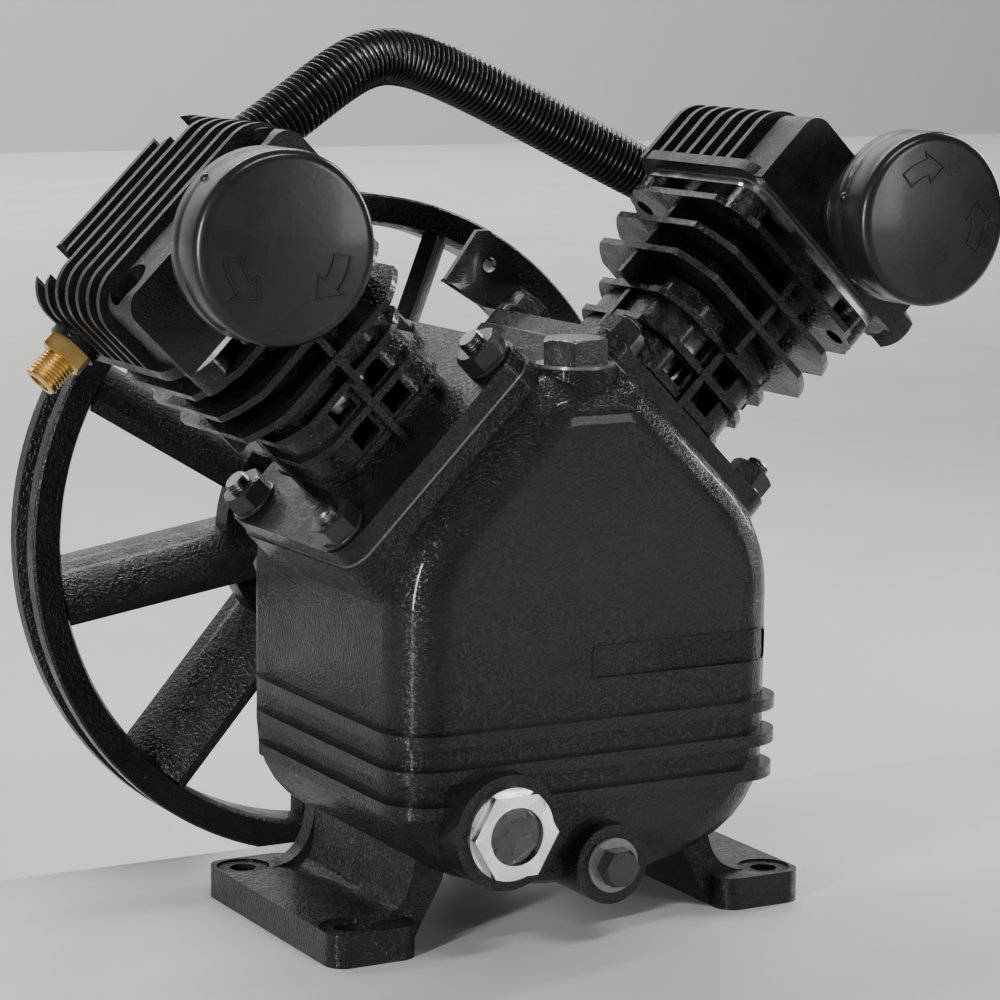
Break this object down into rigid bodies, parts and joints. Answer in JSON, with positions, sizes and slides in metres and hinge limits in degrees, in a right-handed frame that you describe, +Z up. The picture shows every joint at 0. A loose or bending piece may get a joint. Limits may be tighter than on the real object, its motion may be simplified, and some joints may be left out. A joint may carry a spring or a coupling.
{
  "type": "air compressor pump head",
  "caption": "V-twin air-cooled piston compressor pump: cast crankcase on feet, finned cylinders, capped intake filters, ribbed transfer hose and a belt-groove flywheel with fan-blade spokes",
  "frame": {"origin": "middle of the foot bolt pattern, on the underside of the feet", "axes": "X across the pump with the right cylinder at +X, Y along the crank axis with the flywheel at +Y and the sight glass facing -Y, Z up"},
  "size_m": [0.3896, 0.302, 0.3745],
  "materials": {
    "cast_body": "gloss black enamel over rough cast iron",
    "cast_fins": "gloss black enamel over finned cast iron",
    "cast_head": "satin-gloss black paint on a cast head",
    "black_hardware": "gloss black painted fasteners",
    "black_plastic": "gloss black moulding",
    "hose": "glossy black ribbed sleeve",
    "rubber": "matt seal rubber",
    "gasket": "dull sealing sheet",
    "steel": "machined steel",
    "iron": "machined cast iron",
    "aluminium": "die-cast aluminium",
    "bright_aluminium": "bright turned aluminium",
    "brass": "turned brass",
    "felt": "pale filter felt",
    "glass": "clear window"
  },
  "bodies": {
    "pump_body": {"crankcase": "cast_body", "rear_cover": "cast_body", "rear_cover_gasket": "gasket", "rear_cover_bolts": "black_hardware", "inner_bearing": "steel", "outer_bearing": "steel", "shaft_seal": "rubber", "cylinder_gasket_left": "gasket", "cylinder_gasket_right": "gasket", "cylinder_left": "cast_fins", "cylinder_right": "cast_fins", "cylinder_studs_left": "black_hardware", "cylinder_studs_right": "black_hardware", "valve_plate_left": "steel", "valve_plate_right": "steel", "head_gasket_left": "gasket", "head_gasket_right": "gasket", "head_left": "cast_head", "head_right": "cast_head", "head_bolts_left": "black_hardware", "head_bolts_right": "black_hardware", "crank_pin": "steel", "conrod_left": "aluminium", "conrod_right": "aluminium", "piston_left": "aluminium", "piston_right": "aluminium", "piston_rings_left": "iron", "piston_rings_right": "iron", "wrist_pin_left": "steel", "wrist_pin_right": "steel", "oil_dipper": "steel", "filter_base_left": "black_plastic", "filter_base_right": "black_plastic", "filter_element_left": "felt", "filter_element_right": "felt", "discharge_hose": "hose", "hose_elbow_left": "black_hardware", "hose_elbow_right": "black_hardware", "hose_nut_left": "black_hardware", "hose_nut_right": "black_hardware", "outlet_fitting": "brass", "outlet_plug": "black_hardware", "sight_glass_body": "bright_aluminium", "sight_glass_lens": "glass", "drain_plug": "black_hardware", "drain_washer": "gasket", "filler_plug": "black_hardware", "filler_washer": "gasket", "guard_bracket": "black_hardware"},
    "rotor": {"crankshaft": "iron", "flywheel": "cast_body", "flywheel_key": "steel", "flywheel_washer": "steel", "flywheel_bolt": "steel"},
    "left_filter_cap": {"filter_cap_left": "black_plastic"},
    "right_filter_cap": {"filter_cap_right": "black_plastic"}
  },
  "joints": [
    {"name": "rotor_spin", "type": "hinge", "parent": "pump_body", "child": "rotor", "pos_m": [0, 0, 0.134], "axis": [0, 1, 0], "continuous": true},
    {"name": "left_cap_twist", "type": "hinge", "parent": "pump_body", "child": "left_filter_cap", "pos_m": [-0.15061, -0.098, 0.28461], "axis": [0, -1, 0], "range_deg": [0, 35]},
    {"name": "right_cap_twist", "type": "hinge", "parent": "pump_body", "child": "right_filter_cap", "pos_m": [0.15061, -0.072, 0.28461], "axis": [0, -1, 0], "range_deg": [0, 35]}
  ]
}
